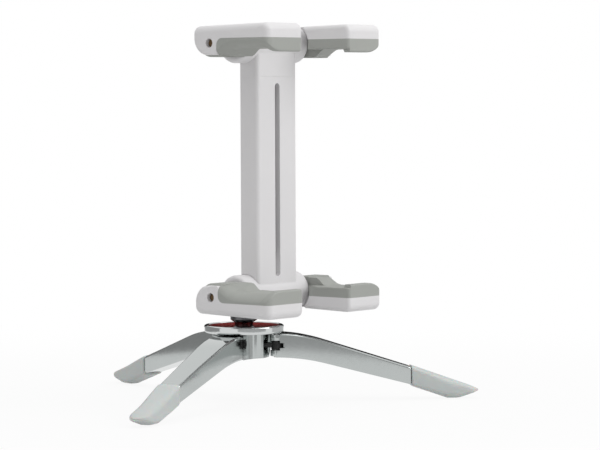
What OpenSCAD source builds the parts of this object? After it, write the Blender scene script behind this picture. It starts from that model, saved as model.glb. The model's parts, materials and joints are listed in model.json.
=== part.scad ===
// Small folding phone tripod: a spring clamp on a ball head over three folding legs.
// Millimetres, +Z up. The origin is the point of the floor under the ball's centre.
// A phone goes in from -Y, on its side, and the clamp's width runs along X.

/* [Stand] */
// Angle by which the stand is turned about the ball, against the clamp
stand_angle = -14; // [-55:1:55]
// Height of the legs' underside at the hub
hub_bottom_z = 10.4; // [10.2:0.1:10.8]
// Height of a leg at its root
leg_root_h = 5.7; // [5.3:0.1:5.9]
// Width of a leg at its root
leg_root_w = 7; // [6.6:0.1:7.6]
// Height of a leg where its rubber foot starts
leg_end_h = 4.2; // [3.4:0.1:4.6]
// Width of a leg where its rubber foot starts
leg_end_w = 5.2; // [4.4:0.1:6]
// Height of a leg's underside where its rubber foot starts
leg_end_z = 3.4; // [2.8:0.1:4]
// Distance from the ball's axis to the bend of a leg
leg_knee_r = 13; // [12:0.5:16]
// Distance from the ball's axis to the start of a rubber foot
foot_start_r = 39.6; // [34:0.2:56]
// Length of a rubber foot from its start to the front of its level sole
foot_l = 11.4; // [9.6:0.2:15]
// Length of the level stretch of a sole
sole_l = 2.6; // [1.5:0.1:4]
// Length of the raised toe beyond the sole
toe_l = 4.9; // [3:0.1:7]
// Height of the toe's tip
toe_h = 2.2; // [1.6:0.1:3]
// Thickness of the rubber outside the leg
foot_skin = 0.35; // [0.2:0.05:0.6]
// Distance from the ball's axis to the hinge seam of a side leg
seam_r = 7.5; // [7.3:0.1:8.2]
// Radius of the leg pins
leg_pin_r = 0.7; // [0.5:0.05:0.8]
// Radius of the knuckles round the leg pins
lobe_r = 1.5; // [1.3:0.1:1.6]
// Width of the open seam between the hub and a side leg
leg_seam = 1.2; // [0.3:0.1:1.4]
// Height of the tongue between a leg's two knuckles
tongue_h = 2; // [1.4:0.1:2.6]
// Angle through which a side leg folds
leg_fold = 120; // [80:5:120]

/* [Ball head] */
// Radius of the hub's core
hub_r = 5.6; // [5.4:0.1:5.8]
// Radius of the ball
ball_r = 3.6; // [3.2:0.1:3.7]
// Height of the ball's centre
ball_z = 14.9; // [14.7:0.1:15.2]
// Thickness of the seat round the ball
seat_wall = 0.5; // [0.4:0.1:0.7]
// Outer radius of the trim ring
ring_r = 9.4; // [8.6:0.1:11]
// Height of the trim ring
ring_h = 1.8; // [1.4:0.1:2]
// Width of the trim ring's rim
rim_w = 0.8; // [0.5:0.1:1.2]
// Radius of the ball stud's neck
neck_r = 2.2; // [1.8:0.1:2.4]
// Radius of the ball stud's collar
collar_r = 3.2; // [2.8:0.1:3.6]
// Height of the ball stud's collar
collar_h = 1.6; // [1:0.1:1.8]
// Radius of the friction disc
disc_r = 3.9; // [3.6:0.1:4.6]
// Thickness of the friction disc
disc_t = 0.8; // [0.6:0.1:1]
// Radius of the camera thread
thread_r = 3.175; // [2.4:0.025:3.2]
// Length of the camera thread above the disc
thread_l = 5; // [3.5:0.5:5.5]

/* [Clamp] */
// Height of the clamp's lower end above the floor
base_z = 21.7; // [21.2:0.1:24]
// Width of the column
column_w = 14.1; // [12.6:0.1:14.6]
// Depth of the column
column_d = 5.7; // [5.5:0.1:6.4]
// Radius of the column's upright edges
column_edge_r = 0.9; // [0.4:0.1:1.4]
// Distance from the clamp's middle to a hinge axis
hinge_h = 29; // [22:0.5:40]
// Distance of the hinge axes in front of the ball's axis
hinge_y = 7.8; // [7.6:0.1:8.6]
// Distance from the upper hinge axis down to the fixed column's upper end
shell_top_drop = 7.6; // [6:0.1:10]
// Distance from the lower hinge axis up to the fixed column's lower end
shell_rise = 2.5; // [2:0.1:4]
// Distance from the column's upper end to its slot
slot_top_margin = 1.5; // [1:0.1:6]
// Distance from the column's lower end to its slot
slot_bottom_margin = 2.5; // [2.4:0.1:6]
// Width of the slot in the column
slot_w = 1.7; // [1:0.1:2.5]
// Width of the sliding bar
bar_w = 10; // [8:0.1:10.4]
// Thickness of the sliding bar
bar_t = 2.6; // [2:0.1:2.8]
// Radius of the return spring
spring_r = 1.15; // [0.8:0.05:1.2]
// Radius of the hinge pins
hinge_pin_r = 0.95; // [0.7:0.05:1.1]
// Radius of the bosses round the hinge pins
boss_r = 4.5; // [3.8:0.1:4.8]
// Length by which those bosses stand out of the column
boss_out = 4; // [2:0.1:4.6]
// Distance of those bosses' middle behind the hinge axis
boss_back = 1.1; // [0:0.1:1.4]

/* [Jaws] */
// Distance from the clamp's middle plane to an arm
arm_in = 8.3; // [8.2:0.1:10]
// Width of an arm
arm_w = 12.2; // [9:0.1:16]
// Distance from the hinge axis to an arm's front
arm_front = 17.5; // [17:0.1:20]
// Distance from the hinge axis to an arm's rear
arm_rear = 5.3; // [5:0.1:5.6]
// Height of an arm's outer face above the hinge axis at the front
arm_top = 4.5; // [4.3:0.1:4.6]
// Fall of an arm's outer face from front to rear
arm_drop = 0.6; // [0:0.1:0.9]
// Radius of an arm's upright edges
arm_edge_r = 1.6; // [0.6:0.1:2.4]
// Height of the seam between arm and pad above the hinge axis
pad_top = 1.1; // [0.6:0.1:1.6]
// Distance from the hinge axis to the pad's rear
pad_rear = 2.2; // [1.8:0.1:3]
// Distance from the hinge axis to the gripping face
grip_drop = 1.25; // [1:0.05:1.5]
// Height of the pad's front lip
lip_h = 0.8; // [0.4:0.1:1.2]
// Thickness of the pad's front lip
lip_t = 1.7; // [1.2:0.1:2]
// Length of the gripping face
grip_l = 8; // [7.2:0.1:8.2]
// Height of the pad's rear hump above the gripping face
hump_h = 1.9; // [1.4:0.1:2.2]

/* [Hidden] */
$fn = 48;

// Clearances: a running fit, a leg's hinge, a folded leg's side, and the overrun of cuts
run_gap = 0.05;
leg_gap = 0.15;
strip_gap = 0.3;
arm_gap = 0.3;
over = 1;

// Colours
chrome = [0.62, 0.65, 0.66];
steel = [0.55, 0.55, 0.56];
white = [0.86, 0.85, 0.86];
grey = [0.6, 0.62, 0.59];
pale_rubber = [0.84, 0.86, 0.85];
black = [0.07, 0.07, 0.07];
red = [0.55, 0.13, 0.09];
brass = [0.75, 0.6, 0.3];

// Legs: the fixed one points to fixed_angle, and the side legs a third of a turn away
fixed_angle = 210 + stand_angle;
third = 120;
leg_top_z = hub_bottom_z + leg_root_h;
leg_end_top = leg_end_z + leg_end_h;
foot_reach = foot_start_r + foot_l;
knee_share = 0.45;
knee_points = 8;
tang_l = 5.5;
tang_inset = 0.8;
pin_side = leg_root_w / 2 - lobe_r;
tongue_z = hub_bottom_z + leg_root_h / 2;
tongue_wall = 0.6;
tongue_r = leg_pin_r + tongue_wall;

// Ball head, from the hub upwards
plate_gap = 0.2;
plate_t = 0.6;
hub_top_z = leg_top_z + plate_gap;
plate_top_z = hub_top_z + plate_t;
ring_top_z = hub_top_z + ring_h;
mouth_r = ball_r * 0.88;
dish_in_r = mouth_r + rim_w;
dish_edge_t = 0.35;
ring_round = 0.45;
plug_t = 0.6;
seat_r = ball_r + seat_wall;
seat_hole_r = 1.6;
stub_start_r = seat_r + 2 * run_gap;
seat_drop = 0.4;
base_rise = 0.2;
knuckle_h = hinge_h + arm_top - base_rise;
clamp_z = base_z + knuckle_h;
disc_top_z = base_z - run_gap;
collar_top_z = disc_top_z - disc_t;
collar_z = collar_top_z - collar_h;
flare_h = 0.5;
insert_wall = 0.9;
insert_r = thread_r + run_gap + insert_wall;
insert_l = thread_l + 0.4 * insert_wall;
block_r = insert_r + insert_wall;
block_top_z = base_z + insert_l + insert_wall;

// Column, bar and spring
shell_top_h = hinge_h - shell_top_drop;
shell_bottom_h = hinge_h - shell_rise;
half_bar_y = bar_t / 2 + leg_gap;
bar_gap = 0.1;
spigot_h = 6.6;
screw_share = 0.68;
spigot_top_h = -shell_bottom_h + spigot_h;
bar_clear = 1.5;
bar_bottom_h = spigot_top_h + bar_clear;
pin_clear = 0.85;
bar_top_h = hinge_h - hinge_pin_r - pin_clear;
spring_slot_w = 2 * spring_r + 0.5 * spring_r;
spring_pin_r = 0.5;
spring_top_h = shell_top_h - 3 * spring_r;
spring_wall = 0.35;
screw_r = 0.7;
screw_head_r = 1.3;
screw_head_t = 0.6;
screw_x = 3.2;
screw_l = 3.2;

// Arms and pads, drawn round the hinge axis with the front at -Y and the phone below
pin_recess = 0.8;
pin_half = arm_in + arm_w - pin_recess;
plug_h = 1;
plug_inset = 1.6;
hump_z = grip_drop + hump_h;
lip_z = grip_drop + lip_h;
lip_round = 0.4;
grip_back = arm_front - lip_t - lip_round - grip_l;
slope_l = 1.1;
shoulder_share = 0.35;
hinge_in = column_w / 2 + boss_out + arm_gap;
notch_r = boss_r + boss_back / 2 + arm_gap;

// Points of a smooth bend from a to c round the corner b
function bend(a, b, c, n) =
    [for (i = [0:n]) let (t = i / n) (1 - t) * (1 - t) * a + 2 * t * (1 - t) * b + t * t * c];

// A point that lies the given share of the way from a to b
function between(a, b, share) = a + share * (b - a);

// Rectangle with round corners, centred
module round_rect(w, d, r) {
    square([w - 2 * r, d], center = true);
    square([w, d - 2 * r], center = true);
    for (x = [-1, 1], y = [-1, 1])
        translate([x * (w / 2 - r), y * (d / 2 - r)]) circle(r);
}

// Side outline turned upright: its first axis runs along X and its second along Z
module along_y(w) {
    rotate([90, 0, 0]) linear_extrude(height = w, center = true) children();
}

// Side outline turned upright: its first axis runs along Y and its second along Z
module along_x(x0, w) {
    translate([x0, 0, 0]) rotate([90, 0, 90]) linear_extrude(height = w) children();
}

// One leg
// A leg's top and bottom edges, each level at the root and bent at the knee
module leg_side(r0) {
    top_knee = [leg_knee_r, leg_top_z];
    low_knee = [leg_knee_r, hub_bottom_z];
    top_end = [foot_start_r, leg_end_top];
    low_end = [foot_start_r, leg_end_z];
    root_top = [leg_knee_r * (1 - knee_share), leg_top_z];
    root_low = [leg_knee_r * (1 - knee_share), hub_bottom_z];
    top = bend(root_top, top_knee, between(top_knee, top_end, knee_share / 2), knee_points);
    low = bend(between(low_knee, low_end, knee_share / 2), low_knee, root_low, knee_points);
    intersection() {
        polygon(concat([[0, leg_top_z]], top, [top_end, low_end], low, [[0, hub_bottom_z]]));
        translate([r0, 0]) square([foot_reach, leg_top_z + over]);
    }
}

module leg_plan() {
    half = leg_root_w / 2;
    end = leg_end_w / 2;
    polygon([[0, -half], [leg_knee_r, -half], [foot_start_r, -end],
        [foot_start_r, end], [leg_knee_r, half], [0, half]]);
}

module leg_bar(r0) {
    intersection() {
        along_y(leg_root_w + over) leg_side(r0);
        linear_extrude(height = leg_top_z + over) leg_plan();
    }
    leg_tang();
}

// The end of a leg that its rubber foot holds
module leg_tang() {
    slope = (hub_bottom_z - leg_end_z) / (foot_start_r - leg_knee_r);
    r0 = foot_start_r - tang_inset;
    low = leg_end_z + tang_inset;
    high = leg_end_top - tang_inset;
    fall = slope * (tang_l + tang_inset);
    along_y(leg_end_w - 2 * tang_inset)
        polygon([[r0, low + slope * tang_inset], [r0 + tang_l + tang_inset, low - fall],
            [r0 + tang_l + tang_inset, high - fall], [r0, high]]);
}

// The hinge pin's place on a leg whose fold goes to the side s
module at_pin(s) {
    translate([seam_r, s * pin_side, 0]) children();
}

// A side leg: two knuckles round its pin, and a slot for the hub's tongue
module side_leg(s) {
    difference() {
        union() {
            leg_bar(seam_r);
            at_pin(s) translate([0, 0, hub_bottom_z]) cylinder(r = lobe_r, h = leg_root_h);
        }
        at_pin(s) translate([0, 0, tongue_z - tongue_h / 2 - leg_gap])
            cylinder(r = lobe_r + leg_gap, h = tongue_h + 2 * leg_gap);
        at_pin(s) cylinder(r = leg_pin_r + run_gap, h = leg_top_z + over);
    }
}

// What the hub leaves free for a folding leg, above and below its tongue
module leg_room(s) {
    room_r = lobe_r + leg_gap;
    room_side = lobe_r + strip_gap;
    at_pin(s) {
        for (z = [0, tongue_z + tongue_h / 2])
            translate([0, 0, z]) cylinder(r = room_r, h = tongue_z - tongue_h / 2);
        rotate([0, 0, s * leg_fold])
            translate([0, s > 0 ? -leg_root_w : -room_side, 0])
                cube([foot_reach, leg_root_w + room_side, hub_top_z]);
    }
}

// Foot: a rubber sleeve with a level sole and a raised toe
module foot() {
    half = leg_end_w / 2 + foot_skin;
    heel = foot_reach - sole_l;
    tip = foot_reach + toe_l;
    tip_half = half * 0.8;
    difference() {
        intersection() {
            along_y(2 * half + over)
                polygon([[foot_start_r, leg_end_z - foot_skin], [heel, 0], [foot_reach, 0],
                    [tip, toe_h - toe_h / 3], [tip, toe_h],
                    [foot_start_r, leg_end_top + foot_skin]]);
            linear_extrude(height = leg_top_z + over)
                union() {
                    polygon([[foot_start_r, -half], [tip - tip_half, -tip_half],
                        [tip - tip_half, tip_half], [foot_start_r, half]]);
                    translate([tip - tip_half, 0]) circle(tip_half);
                }
        }
        leg_tang();
    }
}

module turned(i) {
    rotate([0, 0, fixed_angle + i * third]) children();
}

module hub() {
    color(chrome) difference() {
        union() {
            difference() {
                union() {
                    translate([0, 0, hub_bottom_z]) cylinder(r = hub_r, h = hub_top_z - hub_bottom_z);
                    turned(0) leg_bar(stub_start_r);
                    for (i = [1, -1]) turned(i) {
                        translate([stub_start_r, -leg_root_w / 2, hub_bottom_z])
                            cube([seam_r - leg_seam - stub_start_r, leg_root_w, leg_root_h]);
                        at_pin(-i) translate([-2 * lobe_r, -tongue_r, tongue_z - tongue_h / 2])
                            cube([2 * lobe_r, 2 * tongue_r, tongue_h]);
                    }
                }
                for (i = [1, -1]) turned(i) leg_room(-i);
            }
            for (i = [1, -1]) turned(i) at_pin(-i) translate([0, 0, tongue_z - tongue_h / 2])
                cylinder(r = tongue_r, h = tongue_h);
        }
        for (i = [1, -1]) turned(i) at_pin(-i) cylinder(r = leg_pin_r, h = hub_top_z);
        cylinder(r = seat_r + run_gap, h = hub_top_z + over);
    }
}

module leg_pin(i) {
    color(steel) turned(i) at_pin(-i)
        translate([0, 0, hub_bottom_z]) cylinder(r = leg_pin_r, h = leg_root_h);
}

module front_foot() { color(pale_rubber) turned(0) foot(); }
module left_leg() { color(chrome) turned(-1) side_leg(1); }
module left_foot() { color(pale_rubber) turned(-1) foot(); }
module left_leg_pin() { leg_pin(-1); }
module right_leg() { color(chrome) turned(1) side_leg(-1); }
module right_foot() { color(pale_rubber) turned(1) foot(); }
module right_leg_pin() { leg_pin(1); }

// Trim ring: its plate holds the ball down, and its rim stands round the dish
module trim_ring() {
    color(chrome) difference() {
        rotate_extrude() polygon([[mouth_r, hub_top_z], [ring_r - ring_round, hub_top_z],
            [ring_r, hub_top_z + ring_round], [ring_r, ring_top_z - ring_round],
            [ring_r - ring_round / 2, ring_top_z], [ring_r - rim_w, ring_top_z],
            [ring_r - rim_w, plate_top_z], [mouth_r, plate_top_z]]);
        translate([0, 0, ball_z]) sphere(r = ball_r + run_gap);
    }
}

module dish() {
    color(red) rotate_extrude() polygon([[dish_in_r, plate_top_z],
        [ring_r - rim_w, plate_top_z], [ring_r - rim_w, ring_top_z - ring_round / 2],
        [dish_in_r, plate_top_z + dish_edge_t]]);
}

module base_plug() {
    color(black) translate([0, 0, hub_bottom_z]) cylinder(r = seat_r + run_gap, h = plug_t);
}

module ball_seat() {
    seat_z = hub_bottom_z + plug_t;
    color(black) difference() {
        translate([0, 0, seat_z]) cylinder(r = seat_r, h = ball_z - seat_drop - seat_z);
        translate([0, 0, ball_z]) sphere(r = ball_r + run_gap);
        cylinder(r = seat_hole_r, h = ball_z);
    }
}

module ball_stud() {
    color(steel) union() {
        translate([0, 0, ball_z]) sphere(r = ball_r);
        rotate_extrude() polygon([[0, ball_z], [neck_r, ball_z], [neck_r, collar_z - flare_h],
            [collar_r, collar_z], [collar_r, collar_top_z], [thread_r, collar_top_z],
            [thread_r, base_z + thread_l], [0, base_z + thread_l]]);
    }
}

module friction_disc() {
    color(black) translate([0, 0, collar_top_z]) difference() {
        cylinder(r = disc_r, h = disc_t);
        translate([0, 0, -over]) cylinder(r = thread_r, h = disc_t + 2 * over);
    }
}

// Clamp
// Puts what is drawn round the column's middle at its place
module at_clamp() {
    translate([0, -hinge_y, clamp_z]) children();
}

module column_prism(h0, h1) {
    translate([0, 0, h0]) linear_extrude(height = h1 - h0)
        round_rect(column_w, column_d, column_edge_r);
}

// The bar's section, grown by a gap
module bar_prism(h0, h1, gap) {
    translate([-bar_w / 2 - gap, -bar_t / 2 - gap, h0])
        cube([bar_w + 2 * gap, bar_t + 2 * gap, h1 - h0]);
}

// Bosses on both sides of the column, round a hinge pin at height h
module bosses(h) {
    translate([0, boss_back, h]) rotate([0, 90, 0])
        cylinder(r = boss_r, h = column_w + 2 * boss_out, center = true);
}

module pin_bore(h, r, half) {
    translate([0, 0, h]) rotate([0, 90, 0]) cylinder(r = r, h = 2 * half, center = true);
}

module thread_insert() {
    color(brass) translate([0, 0, base_z]) difference() {
        cylinder(r = insert_r, h = insert_l);
        translate([0, 0, -over]) cylinder(r = thread_r + run_gap, h = insert_l + 2 * over);
    }
}

module screw_places() {
    for (x = [-screw_x, screw_x])
        translate([x, column_d / 2, -shell_bottom_h + screw_share * spigot_h])
            rotate([90, 0, 0]) children();
}

// Room in the column's lower end for the bosses that it stands on
module saddle() {
    translate([0, boss_back, -hinge_h]) rotate([0, 90, 0])
        cylinder(r = boss_r + run_gap, h = 2 * column_w, center = true);
}

// Bottom knuckle: hinge bosses, a spigot for the column and a block for the camera thread
module bottom_knuckle() {
    color(white) difference() {
        union() {
            at_clamp() column_prism(-knuckle_h, -shell_bottom_h);
            at_clamp() bar_prism(-shell_bottom_h - over, spigot_top_h, 0);
            at_clamp() bosses(-hinge_h);
            translate([0, 0, base_z]) cylinder(r = block_r, h = block_top_z - base_z);
            translate([-block_r, -hinge_y, base_z])
                cube([2 * block_r, hinge_y, block_top_z - base_z]);
        }
        at_clamp() pin_bore(-hinge_h, hinge_pin_r, column_w);
        at_clamp() screw_places() cylinder(r = screw_r, h = screw_l + column_d / 2 - bar_t / 2);
        translate([0, 0, base_z - over]) cylinder(r = insert_r, h = insert_l + over);
    }
}

// Front shell: the column's outer form, open at the back for the bar
module column_front() {
    slot_low = -shell_bottom_h + slot_bottom_margin + slot_w / 2;
    slot_high = shell_top_h - slot_top_margin - slot_w / 2;
    color(white) at_clamp() difference() {
        column_prism(-shell_bottom_h, shell_top_h);
        translate([-bar_w / 2 - bar_gap, -half_bar_y, -shell_bottom_h - over])
            cube([bar_w + 2 * bar_gap, column_d, 2 * shell_bottom_h + 2 * over]);
        translate([-column_w, half_bar_y, -shell_bottom_h - over])
            cube([2 * column_w, column_d, 2 * shell_bottom_h + 2 * over]);
        translate([-slot_w / 2, -column_d, slot_low])
            cube([slot_w, column_d, slot_high - slot_low]);
        for (h = [slot_low, slot_high])
            translate([0, 0, h]) rotate([90, 0, 0]) cylinder(r = slot_w / 2, h = column_d);
        saddle();
    }
}

module column_back() {
    color(white) at_clamp() difference() {
        intersection() {
            column_prism(-shell_bottom_h, shell_top_h);
            translate([-column_w, half_bar_y, -shell_bottom_h])
                cube([2 * column_w, column_d, shell_top_h + shell_bottom_h]);
        }
        screw_places() translate([0, 0, -over]) cylinder(r = screw_r, h = column_d);
        screw_places() translate([0, 0, -over])
            cylinder(r = screw_head_r, h = screw_head_t + over);
        saddle();
    }
}

module column_screws() {
    color(steel) at_clamp() screw_places() {
        cylinder(r = screw_head_r, h = screw_head_t);
        cylinder(r = screw_r, h = screw_l);
    }
}

module hinge_pin(h) {
    color(brass) at_clamp() pin_bore(h, hinge_pin_r, pin_half);
}

module bottom_hinge_pin() { hinge_pin(-hinge_h); }
module top_hinge_pin() { hinge_pin(hinge_h); }

// The return spring stands as a tube of its outer size, because the column hides it
module grip_spring() {
    color(steel) at_clamp() translate([0, 0, spigot_top_h]) difference() {
        cylinder(r = spring_r, h = spring_top_h - spigot_top_h);
        translate([0, 0, -over])
            cylinder(r = spring_r - spring_wall, h = spring_top_h - spigot_top_h + 2 * over);
    }
}

module slider_bar() {
    color(grey) at_clamp() difference() {
        bar_prism(bar_bottom_h, bar_top_h, 0);
        translate([-spring_slot_w / 2, -bar_t, bar_bottom_h - over])
            cube([spring_slot_w, 2 * bar_t, spring_top_h + 2 * spring_pin_r - bar_bottom_h + over]);
        translate([0, 0, spring_top_h + spring_pin_r]) rotate([0, 90, 0])
            cylinder(r = spring_pin_r, h = bar_w / 2 + spring_slot_w / 2, center = true);
    }
}

module spring_pin() {
    color(steel) at_clamp() translate([0, 0, spring_top_h + spring_pin_r]) rotate([0, 90, 0])
        cylinder(r = spring_pin_r, h = bar_w / 2 + spring_slot_w / 2, center = true);
}

// Top knuckle: rides on the bar and carries the upper arms
module top_knuckle() {
    color(white) at_clamp() difference() {
        union() {
            column_prism(shell_top_h + run_gap, knuckle_h);
            bosses(hinge_h);
        }
        bar_prism(shell_top_h - over, bar_top_h, 0);
        pin_bore(hinge_h, hinge_pin_r, column_w);
    }
}

// Arms
// The white shell of an arm, seen from its side
module arm_side() {
    rear_top = arm_top - arm_drop;
    rear = bend([arm_rear * 0.55, rear_top], [arm_rear, rear_top], [arm_rear, 0], knee_points);
    under = bend([arm_rear, 0], [arm_rear * 0.8, -hump_z], [0, -hump_z], knee_points);
    seam = bend([-pad_rear, -hump_z + plug_h], [-pad_rear, pad_top],
        [-pad_rear - plug_inset, pad_top], knee_points);
    polygon(concat([[-arm_front, pad_top], [-arm_front, arm_top]], rear, under,
        [[-pad_rear, -hump_z]], seam));
}

// The rubber pad of an arm: rear hump, slope, gripping face and front lip
module pad_side() {
    seam = bend([-pad_rear, -hump_z + plug_h], [-pad_rear, pad_top],
        [-pad_rear - plug_inset, pad_top], knee_points);
    hump_front = -grip_back + slope_l;
    polygon(concat(seam, [[-arm_front, pad_top], [-arm_front, -lip_z + lip_round],
        [-arm_front + lip_round, -lip_z], [-arm_front + lip_t, -lip_z],
        [-arm_front + lip_t + lip_round, -grip_drop], [-grip_back, -grip_drop],
        [hump_front, -grip_drop - hump_h * (1 - shoulder_share)],
        [hump_front + slope_l, -hump_z], [-pad_rear, -hump_z]]));
}

// An arm seen from above: round at its front corners
module arm_plan() {
    translate([arm_in + arm_w / 2, (arm_rear - arm_front) / 2])
        round_rect(arm_w, arm_front + arm_rear, arm_edge_r);
}

// The pad's plug, which the shell's pocket holds
module pad_plug() {
    translate([arm_in + plug_inset, -arm_front + plug_inset, pad_top - plug_h / 2])
        cube([arm_w - 2 * plug_inset, arm_front - pad_rear - 3 * plug_inset, 1.5 * plug_h]);
}

// Room beside the column for a boss, in front of which the arm reaches inwards
module boss_room() {
    along_x(arm_in - over, hinge_in - arm_in + over) {
        circle(notch_r);
        translate([0, -notch_r]) square([arm_rear + over, 2 * notch_r]);
        translate([-grip_back - over, -hump_z - over])
            square([grip_back + over, hump_z - grip_drop + over]);
    }
}

module arm() {
    color(white) difference() {
        intersection() {
            along_x(arm_in, arm_w) arm_side();
            translate([0, 0, -hump_z - over])
                linear_extrude(height = hump_z + arm_top + 2 * over) arm_plan();
        }
        boss_room();
        pad_plug();
        pin_bore(0, hinge_pin_r + run_gap, arm_in + arm_w + over);
    }
}

module pad() {
    color(grey) union() {
        difference() {
            intersection() {
                along_x(arm_in, arm_w) pad_side();
                translate([0, 0, -hump_z - over])
                    linear_extrude(height = hump_z + arm_top + 2 * over) arm_plan();
            }
            boss_room();
        }
        pad_plug();
    }
}

// Puts an arm at the right or left (side 1 or -1) of the upper or lower jaw (end 1 or -1)
module jaw(side, end) {
    at_clamp() translate([0, 0, end * hinge_h])
        mirror([0, 0, end < 0 ? 1 : 0]) mirror([side < 0 ? 1 : 0, 0, 0]) children();
}

module top_left_arm() { jaw(-1, 1) arm(); }
module top_left_pad() { jaw(-1, 1) pad(); }
module top_right_arm() { jaw(1, 1) arm(); }
module top_right_pad() { jaw(1, 1) pad(); }
module bottom_left_arm() { jaw(-1, -1) arm(); }
module bottom_left_pad() { jaw(-1, -1) pad(); }
module bottom_right_arm() { jaw(1, -1) arm(); }
module bottom_right_pad() { jaw(1, -1) pad(); }

hub();
trim_ring();
dish();
base_plug();
front_foot();
left_leg();
left_foot();
left_leg_pin();
right_leg();
right_foot();
right_leg_pin();
ball_seat();
ball_stud();
friction_disc();
thread_insert();
bottom_knuckle();
column_front();
column_back();
column_screws();
bottom_hinge_pin();
grip_spring();
slider_bar();
spring_pin();
top_knuckle();
top_hinge_pin();
top_left_arm();
top_left_pad();
top_right_arm();
top_right_pad();
bottom_left_arm();
bottom_left_pad();
bottom_right_arm();
bottom_right_pad();
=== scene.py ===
# %% [markdown]
# A small folding phone tripod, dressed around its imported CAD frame.
# The frame gives every node's box, every joint's axis and the record's slots, so a surface starts
# from the box of the node that it stands for, and only its finer lines have sizes of their own.
# Lengths are in millimetres until a mesh is made, because that is how such a part is drawn.

# %% Load the frame
import json

import bpy
import numpy as np
from mathutils import Matrix, Vector


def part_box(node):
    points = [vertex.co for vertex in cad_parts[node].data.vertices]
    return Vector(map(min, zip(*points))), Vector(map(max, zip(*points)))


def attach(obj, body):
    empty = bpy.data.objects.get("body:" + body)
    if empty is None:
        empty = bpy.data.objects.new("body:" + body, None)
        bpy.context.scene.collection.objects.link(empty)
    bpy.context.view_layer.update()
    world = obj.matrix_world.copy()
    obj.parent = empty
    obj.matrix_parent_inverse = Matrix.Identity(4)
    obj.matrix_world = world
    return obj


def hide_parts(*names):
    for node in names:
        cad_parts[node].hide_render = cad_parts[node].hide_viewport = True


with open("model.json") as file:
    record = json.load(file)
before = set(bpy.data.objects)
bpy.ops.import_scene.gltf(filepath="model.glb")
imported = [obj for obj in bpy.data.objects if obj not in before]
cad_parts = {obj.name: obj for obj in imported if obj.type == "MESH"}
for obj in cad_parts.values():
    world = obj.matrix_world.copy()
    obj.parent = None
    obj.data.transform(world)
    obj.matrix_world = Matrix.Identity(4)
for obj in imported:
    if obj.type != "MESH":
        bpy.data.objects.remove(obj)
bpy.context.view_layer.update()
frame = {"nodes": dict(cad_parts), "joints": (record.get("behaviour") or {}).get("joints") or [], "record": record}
MM = 0.001
joints = {j["name"]: j for j in frame["joints"]}


def box_mm(node):
    """Lowest and highest corner of a node in millimetres: the frame's metres over 0.001."""
    low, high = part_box(node)
    return np.array(low) / MM, np.array(high) / MM


def hinge_mm(joint):
    """The point that a joint turns about, in millimetres."""
    return np.array(joints[joint]["pos_m"]) / MM


# %% [markdown]
# The camera stands where the photograph was taken: in front and to the left, a little above the
# phone's middle, with a long lens. Its place was worked out from edges measured in the picture,
# so the numbers below are that answer: turn, pitch, distance and focal length.

# %% Camera
TURN, PITCH, ROLL = np.radians([-50.0, 2.8113, -0.2488])
DISTANCE, SIDE_SHIFT, AIM_HEIGHT = 641.11, 13.3222, 41.5621
FOCAL_PIXELS, FRAME_PIXELS, SENSOR = 2721.18, 600, 36.0

back = np.array([np.sin(TURN) * np.cos(PITCH), -np.cos(TURN) * np.cos(PITCH), np.sin(PITCH)])
level = np.array([np.cos(TURN), np.sin(TURN), 0.0])
upright = np.cross(level, -back)
right = np.cos(ROLL) * level + np.sin(ROLL) * upright
up = np.cos(ROLL) * upright - np.sin(ROLL) * level
eye = np.array([0, 0, AIM_HEIGHT]) + right * SIDE_SHIFT + back * DISTANCE

lens = bpy.data.cameras.new("camera")
lens.sensor_width = SENSOR
lens.lens = FOCAL_PIXELS / FRAME_PIXELS * SENSOR
lens.clip_start, lens.clip_end = 0.01, 20
camera = bpy.data.objects.new("camera", lens)
bpy.context.scene.collection.objects.link(camera)
turn = Matrix([list(v) for v in np.stack([right, up, back], axis=1)]).to_4x4()
camera.matrix_world = Matrix.Translation(Vector(eye * MM)) @ turn
bpy.context.scene.camera = camera
print("camera at", np.round(eye, 1), "mm, lens", round(lens.lens, 1), "mm")

# %% [markdown]
# Every finish is a small node tree on Object coordinates. One function wires the parts that all
# finishes share: a slow noise that shifts the colour a little, and a fine noise that breaks up
# the gloss and gives the bump of the mould or the polishing. What is even all over is set on the
# shader's own socket.

# %% Finishes
SLOW_DETAIL, FINE_DETAIL = 3.0, 2.0
finishes = {}


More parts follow.
